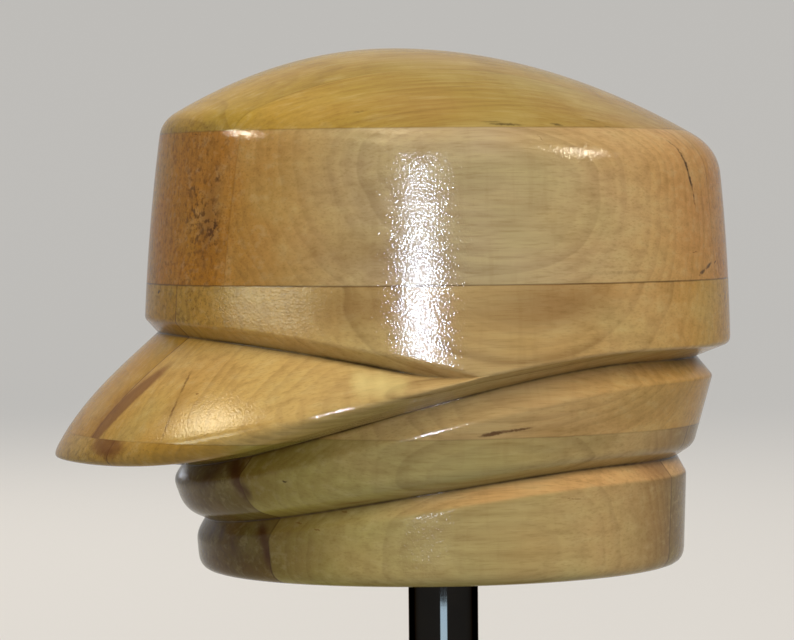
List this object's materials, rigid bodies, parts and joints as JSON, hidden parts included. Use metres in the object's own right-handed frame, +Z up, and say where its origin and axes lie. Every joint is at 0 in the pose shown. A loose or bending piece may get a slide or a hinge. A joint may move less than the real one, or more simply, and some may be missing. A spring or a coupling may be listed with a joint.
{
  "type": "hat block",
  "caption": "Carved wooden block for shaping a visored cap, with swept cord grooves that rise to the rear, glued up from boards and standing on a round steel post with a round foot.",
  "frame": {"origin": "middle of the foot's underside, on the post's axis", "axes": "+Z up along the post, the block's visor faces -X, and the wearer's left side of the cap form faces -Y"},
  "size_m": [0.271, 0.2114, 0.3341],
  "materials": {
    "lacquered_wood": "glossy clear lacquer over pale lime wood, yellowed",
    "polished_tube": "dark, smoked chrome plate on polished steel tube",
    "foot_steel": "satin turned steel"
  },
  "bodies": {
    "foot": {"foot": "foot_steel"},
    "post": {"post": "polished_tube"},
    "block": {"base_board_left": "lacquered_wood", "base_board_middle": "lacquered_wood", "base_board_right": "lacquered_wood", "visor_board_left": "lacquered_wood", "visor_board_middle": "lacquered_wood", "visor_board_right": "lacquered_wood", "crown_board_left": "lacquered_wood", "crown_board_middle": "lacquered_wood", "crown_board_right": "lacquered_wood", "dome_board_left": "lacquered_wood", "dome_board_middle": "lacquered_wood", "dome_board_right": "lacquered_wood"}
  },
  "joints": [
    {"name": "post_turn", "type": "hinge", "parent": "foot", "child": "post", "pos_m": [0, 0, 0.03], "axis": [0, 0, 1], "continuous": true},
    {"name": "block_lift", "type": "slide", "parent": "post", "child": "block", "axis": [0, 0, 1], "range_m": [0, 0.12]}
  ]
}
